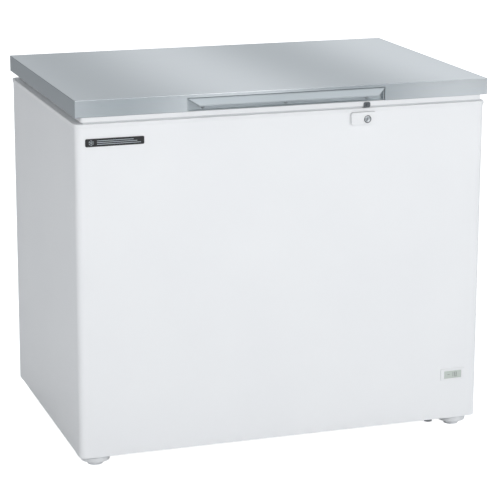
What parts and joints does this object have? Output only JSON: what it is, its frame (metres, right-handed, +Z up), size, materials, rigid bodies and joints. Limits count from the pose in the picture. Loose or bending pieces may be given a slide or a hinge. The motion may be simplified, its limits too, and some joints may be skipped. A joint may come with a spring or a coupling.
{
  "type": "chest freezer",
  "caption": "Chest freezer with a stainless steel lid, recessed grip, key lock, vent grille, hanging basket and glide feet.",
  "frame": {"origin": "on the floor, under the middle of the whole envelope from the grip's lip to the hinge caps", "axes": "+X along the width, to the right as seen from the front; the front faces -Y; +Z up"},
  "size_m": [1.045, 0.735, 0.905],
  "materials": {
    "stainless": "satin brushed",
    "aluminium": "satin anodised",
    "white_steel": "smooth powder coat",
    "white_plastic": "fine moulded texture",
    "grey_plastic": "moulded",
    "dark_plastic": "moulded",
    "lining": "stucco embossed, lacquered",
    "foam": "cut polyurethane foam",
    "rubber": "soft extruded",
    "black_rubber": "moulded",
    "zinc_steel": "zinc plated",
    "dark_zinc": "dark passivated zinc",
    "black_steel": "gloss black",
    "copper": "drawn tube",
    "wire": "white epoxy coated wire",
    "screen": "clear window over a display"
  },
  "bodies": {
    "cabinet": {"outer_shell": "white_steel", "rear_panel": "zinc_steel", "base_tray": "zinc_steel", "foam_insulation": "foam", "inner_liner": "lining", "rim_frame": "white_plastic", "evaporator_coil": "copper", "condenser_coil": "copper", "compressor": "black_steel", "compressor_mount_1": "black_rubber", "compressor_mount_2": "black_rubber", "compressor_mount_3": "black_rubber", "compressor_mount_4": "black_rubber", "suction_line": "copper", "discharge_line": "copper", "filter_drier": "copper", "start_relay_cover": "dark_plastic", "drain_tube": "grey_plastic", "vent_grille": "white_plastic", "thermostat_body": "dark_plastic", "cord_gland": "dark_plastic", "foot_cup_front_left": "white_plastic", "foot_cup_front_right": "white_plastic", "foot_cup_rear_left": "white_plastic", "foot_cup_rear_right": "white_plastic", "foot_pad_front_left": "white_plastic", "foot_pad_front_right": "white_plastic", "foot_pad_rear_left": "white_plastic", "foot_pad_rear_right": "white_plastic", "display_bezel": "white_plastic", "display_screen": "screen", "front_badge": "dark_plastic", "lock_housing": "white_plastic", "hinge_base_left": "zinc_steel", "hinge_base_right": "zinc_steel", "hinge_pin_left": "zinc_steel", "hinge_pin_right": "zinc_steel", "hinge_spring_left": "zinc_steel", "hinge_spring_right": "zinc_steel", "hinge_cover_left": "grey_plastic", "hinge_cover_right": "grey_plastic"},
    "lid": {"lid_skin": "stainless", "lid_liner": "white_plastic", "lid_foam": "foam", "lid_gasket": "rubber", "handle_profile": "aluminium", "handle_screw_left": "zinc_steel", "handle_screw_middle": "zinc_steel", "handle_screw_right": "zinc_steel", "lock_keeper": "dark_zinc", "hinge_leaf_left": "zinc_steel", "hinge_leaf_right": "zinc_steel"},
    "lock_barrel": {"lock_barrel": "zinc_steel", "lock_hook": "dark_zinc"},
    "thermostat_knob": {"thermostat_knob": "grey_plastic"},
    "drain_plug": {"drain_plug": "white_plastic"},
    "basket": {"wire_basket": "wire"}
  },
  "joints": [
    {"name": "lid_hinge", "type": "hinge", "parent": "cabinet", "child": "lid", "pos_m": [0, 0.3585, 0.855], "axis": [-1, 0, 0], "range_deg": [0, 78], "stiffness_Nm_per_rad": 16, "springref_deg": 100.27},
    {"name": "lock_turn", "type": "hinge", "parent": "cabinet", "child": "lock_barrel", "pos_m": [0.204, -0.3525, 0.821], "axis": [0, 1, 0], "range_deg": [0, 90]},
    {"name": "thermostat_turn", "type": "hinge", "parent": "cabinet", "child": "thermostat_knob", "pos_m": [0.5139, 0.0245, 0.155], "axis": [1, 0, 0], "range_deg": [0, 270]},
    {"name": "drain_plug_pull", "type": "slide", "parent": "cabinet", "child": "drain_plug", "axis": [0, 0, 1], "range_m": [0, 0.05]},
    {"name": "basket_slide", "type": "slide", "parent": "cabinet", "child": "basket", "axis": [-1, 0, 0], "range_m": [0, 0.67]}
  ]
}
